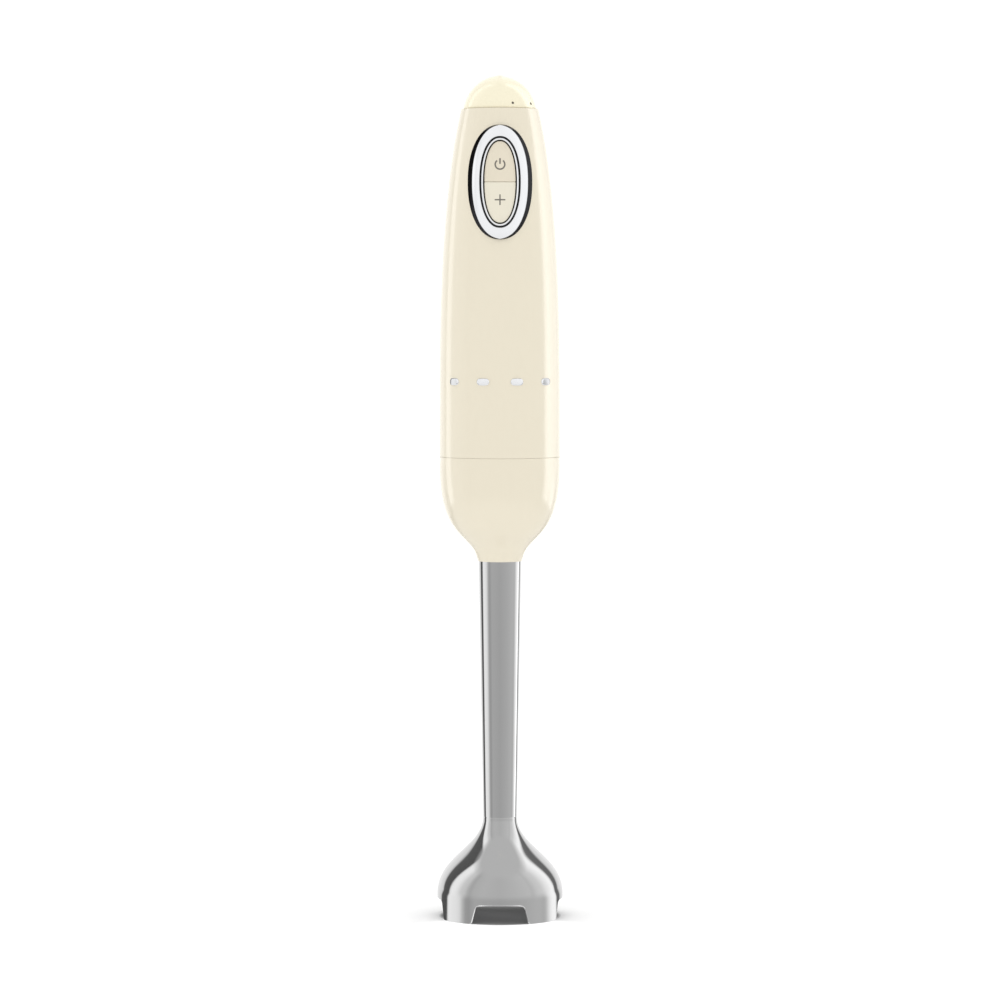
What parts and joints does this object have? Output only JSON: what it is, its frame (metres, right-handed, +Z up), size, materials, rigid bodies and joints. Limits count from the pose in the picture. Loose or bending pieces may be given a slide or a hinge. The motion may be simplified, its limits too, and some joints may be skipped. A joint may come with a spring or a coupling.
{
  "type": "immersion blender",
  "caption": "Upright hand blender: tapered cream handle with a speed dial and two buttons, and a detachable steel arm ending in a bell-shaped blade guard with windows in its rim.",
  "frame": {"origin": "centre of the blade guard's rim, on the surface that the blender stands on", "axes": "+Z up along the motor's and the blade's common axis, -Y towards the person who faces the buttons, +X to their right"},
  "size_m": [0.06, 0.06, 0.4014],
  "materials": {
    "shell_cream": "smooth glossy cream moulding",
    "dial_cream": "smooth glossy cream moulding",
    "power_cream": "satin cream moulding with a printed symbol",
    "turbo_cream": "satin cream moulding with a printed symbol",
    "chrome_trim": "bright chrome plating",
    "polished_steel": "polished stainless steel",
    "ground_steel": "ground stainless steel",
    "zinc_steel": "zinc-plated steel",
    "lamination": "stacked electrical steel sheets",
    "copper": "enamelled copper wire",
    "brass": "bare",
    "bronze": "sintered bronze, oiled",
    "carbon": "pressed carbon",
    "black_plastic": "glass-filled moulding",
    "white_nylon": "unfilled nylon",
    "black_rubber": "moulded rubber",
    "seal_rubber": "food-grade rubber",
    "board_green": "glass-epoxy board with solder mask",
    "capacitor_blue": "moulded box",
    "heatsink_alloy": "extruded"
  },
  "bodies": {
    "motor_body": {"front_shell": "shell_cream", "rear_shell": "shell_cream", "bezel": "chrome_trim", "button_frame": "chrome_trim", "button_carrier": "black_plastic", "front_trim": "chrome_trim", "control_board": "board_green", "micro_switches": "black_plastic", "mains_capacitor": "capacitor_blue", "triac": "black_plastic", "heatsink": "heatsink_alloy", "dial_base": "black_plastic", "potentiometer": "zinc_steel", "potentiometer_nut": "zinc_steel", "cord_gland": "black_rubber", "upper_bracket": "black_plastic", "lower_bracket": "black_plastic", "field_core": "lamination", "field_coils": "copper", "motor_bolts": "zinc_steel", "brush_holders": "brass", "carbon_brushes": "carbon", "brush_springs": "zinc_steel", "motor_bush": "bronze", "bearing_outer_race": "zinc_steel", "upper_mount_ring": "black_rubber", "lower_mount_ring": "black_rubber", "bayonet_socket": "black_plastic", "socket_screws": "zinc_steel", "shell_screws": "zinc_steel", "board_screws": "zinc_steel"},
    "speed_dial": {"speed_dial": "dial_cream", "dial_spindle": "brass"},
    "power_button": {"power_button": "power_cream", "power_plunger": "white_nylon", "power_spring": "zinc_steel"},
    "turbo_button": {"turbo_button": "turbo_cream", "turbo_plunger": "white_nylon", "turbo_spring": "zinc_steel"},
    "rotor": {"motor_shaft": "zinc_steel", "armature_core": "lamination", "armature_winding": "copper", "commutator": "copper", "cooling_fan": "white_nylon", "bearing_inner_race": "zinc_steel", "drive_coupling": "black_plastic"},
    "arm": {"arm_collar": "shell_cream", "tube_carrier": "black_plastic", "arm_tube": "polished_steel", "blade_guard": "polished_steel", "bearing_housing": "ground_steel", "spindle_bushes": "white_nylon", "lower_bush": "bronze", "shaft_seal": "seal_rubber", "spigot_o_ring": "seal_rubber"},
    "blade": {"blade_spindle": "ground_steel", "driven_coupling": "white_nylon", "blade": "ground_steel", "blade_spacer": "ground_steel", "blade_nut": "ground_steel"}
  },
  "joints": [
    {"name": "dial_turn", "type": "hinge", "parent": "motor_body", "child": "speed_dial", "pos_m": [0, 0, 0.3854], "axis": [0, 0, -1], "range_deg": [0, 223]},
    {"name": "power_press", "type": "slide", "parent": "motor_body", "child": "power_button", "axis": [0, 1, 0], "range_m": [0, 0.0012], "stiffness_N_per_m": 600, "springref_m": -0.0015, "deforming": ["power_spring"]},
    {"name": "turbo_press", "type": "slide", "parent": "motor_body", "child": "turbo_button", "axis": [0, 1, 0], "range_m": [0, 0.0012], "stiffness_N_per_m": 600, "springref_m": -0.0015, "deforming": ["turbo_spring"]},
    {"name": "rotor_spin", "type": "hinge", "parent": "motor_body", "child": "rotor", "pos_m": [0, 0, 0.275], "axis": [0, 0, 1], "continuous": true},
    {"name": "blade_spin", "type": "hinge", "parent": "motor_body", "child": "blade", "pos_m": [0, 0, 0.1], "axis": [0, 0, 1], "continuous": true},
    {"name": "arm_twist", "type": "hinge", "parent": "motor_body", "child": "arm", "pos_m": [0, 0, 0.22], "axis": [0, 0, 1], "range_deg": [0, 30]}
  ],
  "couplings": [
    {"joint": "blade_spin", "follows": "rotor_spin", "ratio": 1}
  ]
}
